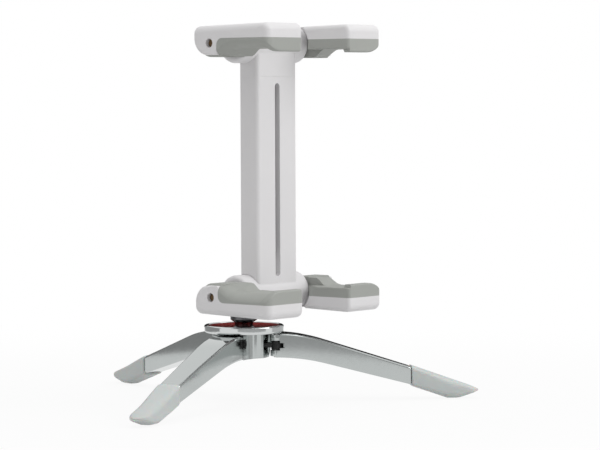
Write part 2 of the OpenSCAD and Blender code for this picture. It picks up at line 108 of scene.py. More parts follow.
def finish(name, dark, light, rough, patch=60.0, grain=2500.0, bump=0.02, stretch=(1, 1, 1), **even):
    """A material whose colour is mix(dark, light, noise(patch * p)), whose roughness runs
    between the two values of rough with noise(grain * p), and whose bump follows the same
    grain. p is the Object coordinate in metres times stretch. even holds the shader's
    uniform sockets."""
    material = bpy.data.materials.new(name)
    material.use_nodes = True
    tree = material.node_tree
    nodes, link = tree.nodes, tree.links.new
    shader = nodes["Principled BSDF"]
    place = nodes.new("ShaderNodeTexCoord")
    mapping = nodes.new("ShaderNodeMapping")
    mapping.inputs["Scale"].default_value = stretch
    link(place.outputs["Object"], mapping.inputs["Vector"])
    slow, fine = nodes.new("ShaderNodeTexNoise"), nodes.new("ShaderNodeTexNoise")
    for noise, scale, detail in ((slow, patch, SLOW_DETAIL), (fine, grain, FINE_DETAIL)):
        noise.inputs["Scale"].default_value = scale
        noise.inputs["Detail"].default_value = detail
        link(mapping.outputs["Vector"], noise.inputs["Vector"])
    colour = nodes.new("ShaderNodeMix")
    colour.data_type = "RGBA"
    link(slow.outputs["Fac"], colour.inputs["Factor"])
    colour.inputs["A"].default_value = (*dark, 1)
    colour.inputs["B"].default_value = (*light, 1)
    link(colour.outputs["Result"], shader.inputs["Base Color"])
    gloss = nodes.new("ShaderNodeMapRange")
    gloss.inputs["To Min"].default_value, gloss.inputs["To Max"].default_value = rough
    link(fine.outputs["Fac"], gloss.inputs["Value"])
    link(gloss.outputs["Result"], shader.inputs["Roughness"])
    relief = nodes.new("ShaderNodeBump")
    relief.inputs["Strength"].default_value = 1.0
    relief.inputs["Distance"].default_value = bump * MM
    link(fine.outputs["Fac"], relief.inputs["Height"])
    link(relief.outputs["Normal"], shader.inputs["Normal"])
    for socket, value in even.items():
        shader.inputs[socket.replace("_", " ")].default_value = value
    finishes[name] = material
    return material


# %% [markdown]
# The clamp is moulded in satin white plastic, and its pads are a light grey rubber with a soft,
# matt face. The feet are a paler rubber that lets a little light in, which the subsurface
# weight gives.

# %% Plastics and rubbers
finish("white_plastic", (0.70, 0.69, 0.70), (0.74, 0.73, 0.735), (0.36, 0.46), bump=0.006,
       Specular_IOR_Level=0.4)
finish("pad_rubber", (0.335, 0.345, 0.325), (0.375, 0.385, 0.36), (0.55, 0.72), grain=4200.0,
       bump=0.012, Specular_IOR_Level=0.35)
finish("foot_rubber", (0.50, 0.54, 0.53), (0.57, 0.60, 0.59), (0.34, 0.46), bump=0.006,
       Subsurface_Weight=0.25, Subsurface_Scale=0.002)
# The bar is paler than the white shell: painted light that offsets the shade inside the column's slot.
finish("bar_plastic", (0.72, 0.70, 0.71), (0.78, 0.76, 0.77), (0.45, 0.6))
finish("black_plastic", (0.018, 0.018, 0.018), (0.03, 0.03, 0.03), (0.4, 0.6))
finish("disc_rubber", (0.012, 0.012, 0.012), (0.022, 0.022, 0.022), (0.35, 0.55))

# %% [markdown]
# The legs and the ring are polished and plated. A fine noise stands for the polishing marks under
# the plating, so that reflections soften a little without turning grey. On the stud it is
# squeezed along the axis, which leaves turning marks round it.
# Inside the leg hinges the hub's tongues get a near-black, rough finish of their own: painted
# shade for the dark seam of each hinge.

# %% Metals
finish("legs_chrome", (0.44, 0.465, 0.46), (0.52, 0.545, 0.54), (0.06, 0.13), patch=45.0,
       grain=1500.0, bump=0.0015, Metallic=1.0)
# Painted shade: a near-black finish for the hub's tongues, so that each leg hinge's seam reads dark.
finish("hinge_painted_shade", (0.012, 0.012, 0.012), (0.03, 0.03, 0.03), (0.5, 0.7), Metallic=0.3)
finish("ring_chrome", (0.58, 0.60, 0.60), (0.66, 0.68, 0.68), (0.07, 0.14), bump=0.001,
       Metallic=1.0)
finish("dish_red", (0.17, 0.016, 0.009), (0.24, 0.03, 0.018), (0.2, 0.32), grain=3200.0,
       bump=0.003, Metallic=0.85, Specular_Tint=(0.45, 0.10, 0.07, 1))
finish("stud_steel", (0.10, 0.10, 0.105), (0.16, 0.16, 0.165), (0.16, 0.28), grain=2200.0,
       bump=0.002, stretch=(1, 1, 8), Metallic=1.0)
finish("pin_steel", (0.42, 0.42, 0.42), (0.5, 0.5, 0.5), (0.25, 0.4), Metallic=1.0)
finish("pin_bronze", (0.10, 0.06, 0.028), (0.17, 0.11, 0.055), (0.3, 0.5), Metallic=0.8)
finish("insert_brass", (0.6, 0.45, 0.2), (0.7, 0.54, 0.26), (0.25, 0.4), Metallic=1.0)
slot_of = {part["node"]: part["material_slot"] for part in frame["record"]["subparts"]}
for node, item in frame["nodes"].items():
    item.data.materials.clear()
    item.data.materials.append(finishes[slot_of[node]])
print("finishes", sorted(finishes))

# %% [markdown]
# A surface here is a stack of closed rings: an array of shape (rings, points, 3). Its faces are
# the quads between neighbouring rings, and one flat face closes each end. The signed volume
# tells which way the faces point, and a negative one turns them all round.


# %% Rings to a shell
def stack(rings, endless=False):
    """Points and faces of a closed stack of rings. Face k of ring i joins points k and k+1 of
    ring i with those of ring i+1. The ends are one face each, or, if the stack is endless, the
    last ring meets the first. The volume is the sum of the tetrahedra under every quad."""
    count, around = rings.shape[:2]
    index = np.arange(count * around).reshape(count, around)
    here, there = (index, np.roll(index, -1, axis=0)) if endless else (index[:-1], index[1:])
    quads = np.stack([here, np.roll(here, -1, axis=1), np.roll(there, -1, axis=1), there], axis=-1)
    quads = quads.reshape(-1, 4)
    points = rings.reshape(-1, 3)
    local = points - points.mean(axis=0)
    a, b, c, d = (local[quads[:, k]] for k in range(4))
    volume = (np.cross(a, b) * c).sum() + (np.cross(a, c) * d).sum()
    faces = quads.tolist()
    if not endless:
        for ring, sign in ((local[index[0]], -1), (local[index[-1]], 1)):
            fan = np.cross(ring, np.roll(ring, -1, axis=0)).sum(axis=0)
            volume += sign * (fan @ ring.mean(axis=0))
        faces += [index[0][::-1].tolist(), index[-1].tolist()]
    if volume < 0:
        faces = [face[::-1] for face in faces]
    return points, faces


def brick(low, high):
    """A plain box between two corners, for cuts and for the neck hidden in each leg hinge."""
    (x0, y0, z0), (x1, y1, z1) = low, high
    ring = np.array([(x0, y0), (x1, y0), (x1, y1), (x0, y1)], float)
    return stack(np.stack([np.column_stack([ring, np.full(4, z)]) for z in (z0, z1)]))


# %% [markdown]
# Some pieces are several forms in one casting or moulding. Those are joined, and holes and slots
# are cut, by exact Booleans whose result is kept. The shading is set once at the end: edges
# sharper than the crease angle stay crisp, and weighted normals keep flat faces flat.


# %% Shells to a piece
def loose(name, shell):
    """A bare object that holds one closed shell, still in millimetres."""
    mesh = bpy.data.meshes.new(name)
    mesh.from_pydata(shell[0].tolist(), [], shell[1])
    mesh.update()
    made = bpy.data.objects.new(name, mesh)
    bpy.context.scene.collection.objects.link(made)
    return made


def combine(made, shell, operation):
    """Joins a closed shell to a piece (UNION) or takes it out of it (DIFFERENCE)."""
    tool = loose("tool", shell)
    step = made.modifiers.new("step", "BOOLEAN")
    step.operation, step.object, step.solver = operation, tool, "EXACT"
    graph = bpy.context.evaluated_depsgraph_get()
    result = bpy.data.meshes.new_from_object(made.evaluated_get(graph))
    made.modifiers.remove(step)
    spent = [made.data, tool.data]
    made.data = result
    bpy.data.objects.remove(tool)
    for mesh in spent:
        bpy.data.meshes.remove(mesh)


def piece(name, shell, body, slot, nodes=(), joins=(), cuts=(), look=None, crease=32):
    """One object: a closed shell with others joined and cut. It rides on its body, takes its
    slot's finish or a look of its own, and hides the CAD nodes that it stands for."""
    made = loose(name, shell)
    for operation, others in (("UNION", joins), ("DIFFERENCE", cuts)):
        for other in others:
            combine(made, other, operation)
    mesh = made.data
    mesh.name = name
    mesh.transform(Matrix.Scale(MM, 4))
    mesh.materials.clear()
    mesh.materials.append(finishes[look or slot])
    mesh.shade_smooth()
    mesh.set_sharp_from_angle(angle=np.radians(crease))
    made.modifiers.new("even_shading", "WEIGHTED_NORMAL").keep_sharp = True
    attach(made, body)
    if nodes:
        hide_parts(*nodes)
    print(name, "points", len(mesh.vertices), "faces", len(mesh.polygons))
    return made


# %% [markdown]
# Outlines are drawn the way a maker does it: a few corners, each with the radius that rounds it.
# A rational quadratic curve with the weight cos(half the turn) is an exact arc, so all corners
# of all stations are worked out in one array expression.


# %% Rounded outlines
ARC_STEPS = 8


def rounded(corners, radii, steps=ARC_STEPS):
    """Closed outline of shape (..., corners * steps, 2). Each corner B with neighbours P and N
    is left at A = B + (P-B)*t and met again at C = B + (N-B)*t with t = r*tan(turn/2), and
    between them runs the arc (1-u)^2*A + 2u(1-u)w*B + u^2*C over its weights."""
    corners = np.asarray(corners, float)
    radii = np.asarray(radii, float)[..., None]
    before = np.roll(corners, 1, axis=-2) - corners
    after = np.roll(corners, -1, axis=-2) - corners
    before /= np.linalg.norm(before, axis=-1, keepdims=True)
    after /= np.linalg.norm(after, axis=-1, keepdims=True)
    opening = np.arccos(np.clip((before * after).sum(-1, keepdims=True), -1, 1))
    reach = radii / np.tan(opening / 2)
    weight = np.sin(opening / 2)[..., None, :]
    a, b, c = ((corners + v * reach)[..., None, :] for v in (before, 0 * before, after))
    u = np.linspace(0, 1, steps)[:, None]
    top = (1 - u) ** 2 * a + 2 * u * (1 - u) * weight * b + u**2 * c
    curve = top / ((1 - u) ** 2 + 2 * u * (1 - u) * weight + u**2)
    return curve.reshape(*corners.shape[:-2], -1, 2)


def outward(outline):
    """Unit normals of a closed outline, turned to its outside: the tangent (dx, dy) gives
    (dy, -dx), and the sign of the area says whether that is outside."""
    step = np.roll(outline, -1, axis=-2) - np.roll(outline, 1, axis=-2)
    normal = np.stack([step[..., 1], -step[..., 0]], axis=-1)
    normal /= np.maximum(np.linalg.norm(normal, axis=-1, keepdims=True), 1e-9)
    ahead = np.roll(outline, -1, axis=-2)
    area = (outline[..., 0] * ahead[..., 1] - outline[..., 1] * ahead[..., 0]).sum(-1)
    return normal * np.sign(area)[..., None, None]


def edge_stations(low, high, edge, steps=6):
    """Places across a width from low to high, close together over the rounded edges:
    low + edge*(1 - cos a) for a from 0 to a right angle, and the same from high."""
    a = np.linspace(0, np.pi / 2, steps)
    rise = edge * (1 - np.cos(a))
    return np.concatenate([low + rise, (high - rise)[::-1]])


def drop(places, low, high, radius):
    """How far a rounded edge has fallen at each place: radius - sqrt(radius^2 - s^2), where s
    is how far the place is inside the last radius before low or high."""
    inside = np.minimum(places - low, high - places)
    s = np.clip(radius - inside, 0, radius)
    return radius - np.sqrt(np.maximum(radius**2 - s**2, 0))


def prism(outline, low, high, edge, axis="z"):
    """Rings of an outline carried from low to high along an axis, with both ends' edges
    rounded: each ring is the outline less drop(place) along its normals."""
    places = edge_stations(low, high, edge)
    inset = drop(places, low, high, edge)[:, None, None]
    shape = outline[None] - outward(outline)[None] * inset
    along = np.broadcast_to(places[:, None], shape.shape[:2])
    order = {"z": (shape[..., 0], shape[..., 1], along), "x": (along, shape[..., 0], shape[..., 1]),
             "y": (shape[..., 0], along, shape[..., 1])}[axis]
    return np.stack(order, axis=-1)


def box_outline(x0, x1, y0, y1, radius):
    """Rectangle with equal round corners."""
    return rounded([(x0, y0), (x1, y0), (x1, y1), (x0, y1)], [radius] * 4)


# %% [markdown]
# Turned pieces come off a lathe: a profile of (radius, height) spun round an axis. A solid one
# ends in small flats at its poles. One with a hole has a closed profile, and its rings go all
# the way round, so that it has no ends at all.


# %% Turned shapes
def spin(profile, axis, centre, around):
    """Points of shape (around, profile, 3): centre + radius*(cos a, sin a) + height along the
    axis, with a = 2*pi*k/around."""
    profile = np.asarray(profile, float)
    a = np.linspace(0, 2 * np.pi, around, endpoint=False)[:, None]
    r, h = profile[None, :, 0], profile[None, :, 1]
    x, y, z = r * np.cos(a), r * np.sin(a), h + 0 * a
    order = {"z": (x, y, z), "x": (z, x, y), "y": (y, z, x)}[axis]
    return np.stack(order, axis=-1) + np.asarray(centre, float)


def lathe(profile, centre=(0, 0, 0), axis="z", around=64):
    """Shell of a solid turned piece, whose open profile runs from one end to the other."""
    return stack(spin(profile, axis, centre, around).swapaxes(0, 1))


def washer(profile, centre=(0, 0, 0), axis="z", around=96):
    """Shell of a turned piece with a hole, from a closed profile."""
    return stack(spin(profile, axis, centre, around), endless=True)


def rod(radius, low, high, centre=(0, 0, 0), axis="z", edge=0.1, around=48):
    """A round bar from low to high along an axis, with its ends' edges rounded."""
    places = edge_stations(low, high, edge, 4)
    profile = np.column_stack([radius - drop(places, low, high, edge), places])
    return lathe(profile, centre, axis, around)


# %% [markdown]
# An arm is a white shell over a grey pad. Seen from its side it is an outline round the hinge,
# with the phone below. Across its width the outline stays the same, but its edges roll over, and
# in plan its front corners are round, the outer one more than the inner one. So each station
# across the width is the outline, drawn in along its normal by the edge's drop and pushed back
# by the corner's drop.

# %% Arm sizes
arm_low, arm_high = box_mm("top_right_arm")
pad_low = box_mm("top_right_pad")[0]
knuckle_low, knuckle_high = box_mm("top_knuckle")
axis_y, axis_z = hinge_mm("top_right_arm_fold")[1:]
FRONT, REAR = arm_low[1] - axis_y, arm_high[1] - axis_y
OUTER, SEAM, HUMP = arm_high[2] - axis_z, 1.1, pad_low[2] - axis_z
INNER_X, OUTER_X = arm_low[0], arm_high[0]
GRIP, LIP, PAD_REAR, FALL, SEAT = -1.25, -2.05, -2.2, 0.6, 0.45
SEAM_CORNER, TOP_EDGE, REAR_TOP, REAR_LOW, SEAT_CORNER = 1.6, 1.7, 1.7, 4.3, 0.4
INNER_CORNER, OUTER_CORNER, CORNER_FADE = 0.8, 1.5, 2.2
INNER_ROLL, OUTER_ROLL, LOW_ROLL_SHARE = 1.1, 1.6, 0.3
NOTCH_X, NOTCH_R, NOTCH_FRONT = knuckle_high[0] + 0.3, 5.35, -9.0
CRISP = 0.03
print("arm from", round(FRONT, 2), "to", round(REAR, 2), "hump", round(HUMP, 2))


# %% Arm helpers
def arm_stations(low=INNER_X, high=OUTER_X, inner=2.0, outer=5.2, steps=12):
    """Places across an arm, dense over its inner edge and over its rounded outer part."""
    a = np.linspace(0, np.pi / 2, steps)
    start = low + inner * (1 - np.cos(a))
    end = high - outer * (1 - np.cos(a))
    return np.concatenate([start, end[::-1]])


def roll_in(outline, places, inner, outer):
    """Each outline point goes in along its normal by the drop of its own inner or outer edge
    radius at that place across the arm."""
    middle = (INNER_X + OUTER_X) / 2
    radius = np.where(places[:, None] < middle, inner[None], outer[None])
    s = radius - np.minimum(places - INNER_X, OUTER_X - places)[:, None]
    s = np.clip(s, 0, radius)
    fallen = radius - np.sqrt(np.maximum(radius**2 - s**2, 0))
    return outline - outward(outline) * fallen[..., None]


def smooth(t):
    """A soft step from 0 to 1: 3t^2 - 2t^3 with t kept between 0 and 1."""
    t = np.clip(t, 0, 1)
    return t * t * (3 - 2 * t)


def round_front(shape, places):
    """Points (x, y, z) of all stations, pushed back by the plan corner's drop. The push holds
    over the front edge and fades out by a soft step over CORNER_FADE times the radius."""
    middle = (INNER_X + OUTER_X) / 2
    radius = np.where(places < middle, INNER_CORNER, OUTER_CORNER)[:, None]
    s = np.clip(radius - np.minimum(places - INNER_X, OUTER_X - places)[:, None], 0, radius)
    corner = radius - np.sqrt(np.maximum(radius**2 - s**2, 0))
    behind_edge = shape[..., 0] - FRONT - TOP_EDGE
    y = shape[..., 0] + corner * smooth(1 - behind_edge / (CORNER_FADE * radius))
    x = np.broadcast_to(places[:, None], y.shape)
    return np.stack([x, y, shape[..., 1]], axis=-1)


def shell_rings():
    """The white shell: flat outer face, round edges, a deep round rear, the pad's seat below."""
    corners = [(FRONT, SEAM), (FRONT, OUTER), (REAR, OUTER - FALL), (REAR, HUMP + SEAT),
               (PAD_REAR, HUMP + SEAT), (PAD_REAR, SEAM)]
    radii = [CRISP, TOP_EDGE, REAR_TOP, REAR_LOW, SEAT_CORNER, SEAM_CORNER]
    fade = np.linspace(0, 1, ARC_STEPS)
    still = np.zeros(ARC_STEPS)
    edge = np.concatenate([still, fade, still + 1, 1 - (1 - LOW_ROLL_SHARE) * fade, still, still])
    places = arm_stations()
    outline = np.broadcast_to(rounded(corners, radii), (len(places), len(edge), 2))
    return round_front(roll_in(outline, places, INNER_ROLL * edge, OUTER_ROLL * edge), places)


# %% [markdown]
# The pad is one rubber moulding: a lip at the front that stops the phone, a flat face that grips
# it, a slope and a hump beside the column, and a strip that runs back over the hinge. It is drawn
# like the shell, but some of its points move from station to station.

# %% Pad sizes
HUMP_END, SLOPE_END, LIP_START, LIP_FACE = -5.2, -7.4, -15.4, -15.8
HUMP_FLAT, HUMP_FADE, HUMP_FALL_SHARE = 12.8, 5.4, 0.92
HUMP_RADIUS, SLOPE_RADIUS, LIP_HEEL, LIP_TOE = 0.9, 1.2, 0.25, 0.45
STEP_IN, STEP_WIDE, STEP_LOW, SIDE_INSET = 0.5, 0.12, 0.02, 0.04
LIFT_FROM, LIFT_FURTHER, LIFT_RISE, LIFT_LESS = 15.5, 2.6, 9.0, 6.9
BACK_FROM, BACK_OVER, SEAM_BAND, PAD_EDGE = -8.5, 3.0, 0.12, 0.35
STRIP_LAP, STRIP_THICK, STRIP_RISE, STRIP_END, STRIP_EDGE = 0.47, 0.9, 1.9, 0.2, 0.7
STRIP_BEND, STRIP_REAR, STRIP_TIP, STRIP_HOLLOW = 2.4, 4.2, 3.2, 1.8
STRIP_BEND_RADIUS, STRIP_HOLLOW_RADIUS, STRIP_FRONT_RADIUS, STRIP_SIDE = 3.0, 1.5, 0.08, 1.3
print("pad grips from", round(LIP_START + axis_y, 2), "to", round(SLOPE_END + axis_y, 2))


# %% Pad and strip
def pad_rings():
    """The rubber pad: a hump at the rear, a slope, the gripping face and a lip at the front.
    The hump is full beside the column and fades outwards by a soft step.
    Towards the arm's outer side every low point rises to the seam along a quarter ellipse,
    z + e*(1 - sqrt(1 - s^2)), which is wide at the grip and narrow at the hump. The lip starts
    with a small step inside the inner corner."""
    step_x = INNER_X + STEP_IN
    places = np.sort(np.append(arm_stations(high=OUTER_X - SIDE_INSET), [step_x, step_x + STEP_WIDE]))
    fixed = np.array([(FRONT, SEAM), (PAD_REAR, SEAM), (PAD_REAR, HUMP), (HUMP_END, HUMP),
                      (SLOPE_END, GRIP), (LIP_START, GRIP), (LIP_FACE, LIP), (FRONT, LIP)])
    corners = np.repeat(fixed[None], len(places), axis=0)
    corners[:, 3, 1] += (GRIP - HUMP) * HUMP_FALL_SHARE * smooth((places - HUMP_FLAT) / HUMP_FADE)
    past_step = places > step_x + STEP_WIDE / 2
    corners[:, 6:, 1] = np.where(past_step, LIP, GRIP - STEP_LOW)[:, None]
    radii = [CRISP, 0.05, 0.05, HUMP_RADIUS, SLOPE_RADIUS, 0.02, LIP_HEEL, LIP_TOE]
    radii = np.repeat(np.array([radii]), len(places), axis=0)
    radii[~past_step, 6] = STEP_LOW / 2
    outline = rounded(corners, radii)
    low = outline[..., 1] < SEAM - SEAM_BAND
    back_share = smooth((outline[..., 0] - BACK_FROM) / BACK_OVER)
    start = LIFT_FROM + LIFT_FURTHER * back_share
    s = np.clip((places[:, None] - start) / (OUTER_X - start), 0, 1)
    rise = np.minimum(SEAM - SEAM_BAND - outline[..., 1], LIFT_RISE - LIFT_LESS * back_share)
    lift = np.where(low, rise * (1 - np.sqrt(np.maximum(1 - s**2, 0))), 0)
    lift += np.where(low, drop(places, INNER_X, OUTER_X + 1, PAD_EDGE)[:, None], 0)
    outline = np.stack([outline[..., 0], outline[..., 1] + lift], axis=-1)
    return round_front(outline, places)


def strip_rings():
    """The end of the pad that runs back over the hinge: a thin curved strip that stands a
    little proud of the shell's rear, with its own outer edge rounded."""
    front, side = PAD_REAR - STRIP_LAP, OUTER_X - STRIP_SIDE
    corners = [(front, HUMP), (STRIP_BEND, HUMP), (STRIP_REAR, HUMP + STRIP_RISE),
               (STRIP_TIP, HUMP + STRIP_RISE), (STRIP_HOLLOW, HUMP + STRIP_THICK),
               (front, HUMP + STRIP_THICK)]
    outline = rounded(corners, [STRIP_FRONT_RADIUS, STRIP_BEND_RADIUS, STRIP_END, STRIP_END,
                                STRIP_HOLLOW_RADIUS, STRIP_FRONT_RADIUS])
    places = edge_stations(NOTCH_X - 1, side, STRIP_EDGE)
    outer_side = np.arange(len(outline)) < 3 * ARC_STEPS
    lift = np.where(outer_side, drop(places, NOTCH_X - 3, side, STRIP_EDGE)[:, None], 0)
    x = np.broadcast_to(places[:, None], lift.shape)
    return np.stack([x, np.broadcast_to(outline[:, 0], lift.shape), outline[:, 1] + lift], axis=-1)


def placed(shell, joint, side, end):
    """A shell drawn round the upper right hinge, taken to a jaw: x times side and z times end,
    then moved to the hinge. An odd number of mirrors turns its faces round again."""
    points, faces = shell
    points = points * [side, 1, end] + hinge_mm(joint) * [0, 1, 1]
    return points, ([face[::-1] for face in faces] if side * end < 0 else faces)


# %% [markdown]
# The hinge pins lie a little below the arms' outer sides, in round holes with a dark bronze
# bottom. Beside the column an arm leaves room for the boss that carries it, so a disc and two
# blocks are cut out of its inner corner.

# %% Arms and pads
HOLE_R, HOLE_DEPTH, HOLE_EDGE, OVER = 1.05, 2.2, 0.05, 1.0
hole = rod(HOLE_R, OUTER_X - HOLE_DEPTH, OUTER_X + OVER, axis="x", edge=HOLE_EDGE, around=40)
boss_room = [
    rod(NOTCH_R, INNER_X - OVER, NOTCH_X, axis="x", edge=HOLE_EDGE, around=96),
    brick((INNER_X - OVER, 0, -NOTCH_R), (NOTCH_X, REAR + OVER, NOTCH_R)),
    brick((INNER_X - OVER, NOTCH_FRONT, HUMP - OVER), (NOTCH_X, REAR + OVER, GRIP)),
]
for end_name, end in (("top", 1), ("bottom", -1)):
    for side_name, side in (("left", -1), ("right", 1)):
        jaw = f"{end_name}_{side_name}"
        joint = f"{jaw}_arm_fold"
        room = [placed(cutter, joint, side, end) for cutter in boss_room]
        strip = placed(stack(strip_rings()), joint, side, end)
        piece(f"{jaw}_shell", placed(stack(shell_rings()), joint, side, end), f"{jaw}_jaw",
              "white_plastic", [f"{jaw}_arm"], cuts=[*room, placed(hole, joint, side, end), strip])
        piece(f"{jaw}_grip", placed(stack(pad_rings()), joint, side, end), f"{jaw}_jaw",
              "pad_rubber", [f"{jaw}_pad"], joins=[strip], cuts=room)

# %% [markdown]
# The column is a box of two mouldings with rounded upright edges. The front one has the long
# slot, behind which the grey bar shows; the bar's finish is paler than the shell, painted light
# that lightens the shade in the slot. A slot with round ends is the hull of two circles, so its
# outline is a rectangle whose corner radius is half its width.

# %% Column
front_low, front_high = box_mm("column_front")
back_high = box_mm("column_back")[1]
bar_low, bar_high = box_mm("slider_bar")
low_knuckle_low, low_knuckle_high = box_mm("bottom_knuckle")
low_axis = hinge_mm("bottom_right_arm_fold")
COLUMN_EDGE, BOSS_R, BOSS_BACK, SADDLE_GAP = 0.9, 4.5, 1.1, 0.05
SLOT_HALF, SLOT_LOW, SLOT_HIGH, SLOT_ROUND_SHARE = 0.85, 29.9, 74.9, 0.98
BAR_GAP, BAR_FRONT_GAP, CUT_EDGE = 0.1, 0.15, 0.02
column_outline = box_outline(front_low[0], front_high[0], front_low[1], back_high[1], COLUMN_EDGE)
column = stack(prism(column_outline, front_low[2], front_high[2], CUT_EDGE))
saddle = rod(BOSS_R + SADDLE_GAP, front_low[0] - OVER, front_high[0] + OVER,
             (0, low_axis[1] + BOSS_BACK, low_axis[2]), "x", HOLE_EDGE, 96)
slot_outline = box_outline(-SLOT_HALF, SLOT_HALF, SLOT_LOW, SLOT_HIGH, SLOT_HALF * SLOT_ROUND_SHARE)
slot = stack(prism(slot_outline, front_low[1] - OVER, front_high[1], CUT_EDGE / 2, axis="y"))
bar_room = brick((bar_low[0] - BAR_GAP, bar_low[1] - BAR_FRONT_GAP, front_low[2] - OVER),
                 (bar_high[0] + BAR_GAP, back_high[1], front_high[2] + OVER))
behind = brick((front_low[0] - OVER, front_high[1], front_low[2] - OVER),
               (front_high[0] + OVER, back_high[1] + OVER, front_high[2] + OVER))
ahead = brick((front_low[0] - OVER, front_low[1] - OVER, front_low[2] - OVER),
              (front_high[0] + OVER, front_high[1], front_high[2] + OVER))
piece("column_face", column, "clamp", "white_plastic", ["column_front"],
      cuts=[bar_room, behind, slot, saddle])

# %% [markdown]
# Two screws with sunk heads hold the back of the column to the bottom knuckle. Their heads are
# turned, with a cross recess made of two thin blocks.

# %% Back and screws
SCREW_X, SCREW_Z, HEAD_R, SCREW_R = 3.2, 33.0, 1.3, 0.7
HEAD_GAP, HEAD_H, CROSS_HALF, CROSS_LONG, CROSS_DEEP, POLE_R = 0.06, 0.6, 0.16, 0.8, 0.4, 0.1
screw_low, screw_high = box_mm("column_screws")
recess = back_high[1] - HEAD_H
holes = [rod(HEAD_R + HEAD_GAP, recess, back_high[1] + OVER, (x, 0, SCREW_Z), "y", CUT_EDGE, 40)
         for x in (-SCREW_X, SCREW_X)]
piece("column_rear", column, "clamp", "white_plastic", ["column_back"],
      cuts=[ahead, saddle, *holes])
head_z = screw_high[1]
head = [(POLE_R, screw_low[1]), (SCREW_R, screw_low[1] + 0.3), (SCREW_R, head_z - HEAD_H),
        (HEAD_R, head_z - 0.55), (HEAD_R, head_z - 0.3), (HEAD_R * 0.9, head_z - 0.12),
        (HEAD_R * 0.6, head_z - 0.02), (POLE_R, head_z)]
for name, x in (("left", -SCREW_X), ("right", SCREW_X)):
    cross = [brick((x - a, head_z - CROSS_DEEP, SCREW_Z - b), (x + a, head_z + OVER, SCREW_Z + b))
             for a, b in ((CROSS_HALF, CROSS_LONG), (CROSS_LONG, CROSS_HALF))]
    piece(f"column_screw_{name}", lathe(head, (x, 0, SCREW_Z), "y", 40), "clamp", "pin_steel",
          ["column_screws"], cuts=cross)

# %% [markdown]
# Each knuckle is a block as wide as the column with a round boss to either side, and the bosses'
# ends have soft edges. The lower one also carries the block that takes the camera thread.


# %% Knuckles
PIN_BORE_R, BOSS_EDGE, BLOCK_EDGE, BRIDGE_CORNER = 0.96, 0.9, 0.4, 0.45
SPIGOT_X, SPIGOT_Y, SPIGOT_CORNER, SPIGOT_EDGE = 5.0, 1.3, 0.2, 0.15


def knuckle(name, low, high, axis, body, node, joins=(), cuts=()):
    """A column-wide block from low to high with its bosses: a rod along X round the axis."""
    core = prism(column_outline, low, high, CUT_EDGE)
    (x0, x1), middle = (corner[0] for corner in box_mm(node)), axis * [0, 1, 1]
    boss = rod(BOSS_R, x0, x1, middle + [0, BOSS_BACK, 0], "x", BOSS_EDGE, 96)
    bore = rod(PIN_BORE_R, x0 - OVER, x1 + OVER, middle, "x", CUT_EDGE, 32)
    return piece(name, stack(core), body, "white_plastic", [node], joins=[boss, *joins],
                 cuts=[bore, *cuts])


THREAD_R, INSERT_R, BLOCK_R, SLIDE_GAP = 3.2, 4.13, 5.025, 0.01
base, block_top = low_knuckle_low[2], 27.96
insert_low, insert_high = box_mm("thread_insert")
top_axis = hinge_mm("top_right_arm_fold")
top_bar = brick((bar_low[0], bar_low[1], knuckle_low[2] - OVER), bar_high)
knuckle("top_knuckle_body", front_high[2] + SLIDE_GAP, knuckle_high[2], top_axis, "slider",
        "top_knuckle", cuts=[top_bar])
block = rod(BLOCK_R, base, block_top, edge=BLOCK_EDGE, around=96)
bridge_outline = box_outline(-BLOCK_R, BLOCK_R, low_axis[1], 0, BRIDGE_CORNER)
bridge = stack(prism(bridge_outline, base, block_top, BLOCK_EDGE))
spigot_outline = box_outline(-SPIGOT_X, SPIGOT_X, low_axis[1] - SPIGOT_Y, low_axis[1] + SPIGOT_Y,
                             SPIGOT_CORNER)
spigot = stack(prism(spigot_outline, front_low[2] - OVER, low_knuckle_high[2], SPIGOT_EDGE))
insert_bore = rod(INSERT_R, base - OVER, insert_high[2], edge=CUT_EDGE)
knuckle("bottom_knuckle_body", base, front_low[2], low_axis, "clamp", "bottom_knuckle",
        joins=[bridge, block, spigot], cuts=[insert_bore])

# %% [markdown]
# Small turned parts: the pins and the brass insert. They mostly hide inside the clamp, but a
# pin's end shows at the bottom of each arm's hole. The bar, the spring and its pin, the ball's
# seat and the plug keep their CAD shape and only get a finish.

# %% Pins and insert
for end_name, body in (("top", "slider"), ("bottom", "clamp")):
    low, high = box_mm(f"{end_name}_hinge_pin")
    middle = (low + high) / 2 * [0, 1, 1]
    piece(f"{end_name}_pin", rod((high[2] - low[2]) / 2, low[0], high[0], middle, "x", 0.25),
          body, "pin_bronze", [f"{end_name}_hinge_pin"])
for side in ("left", "right"):
    low, high = box_mm(f"{side}_leg_pin")
    middle = (low + high) / 2 * [1, 1, 0]
    piece(f"{side}_hinge_pin", rod((high[0] - low[0]) / 2, low[2], high[2], middle, "z", 0.15),
          "stand", "pin_steel", [f"{side}_leg_pin"])
rim = rounded([(THREAD_R, insert_low[2]), (INSERT_R - 0.01, insert_low[2]),
               (INSERT_R - 0.01, insert_high[2]), (THREAD_R, insert_high[2])], [0.1] * 4, 4)
piece("insert_sleeve", washer(rim), "clamp", "insert_brass", ["thread_insert"])

# %% [markdown]
# The ball head is all turned work. The ring's rim is rounded to a thin bright line, the red dish
# rises in a shallow curve to it, and the stud is a ball, a waisted neck, a collar and the camera
# thread. The black disc lies on the collar, and its rim stands up round the clamp's block. Thread
# depth along the stud is d*(1 + cos(2*pi*h/pitch)), and the dish climbs by a line and a cube.

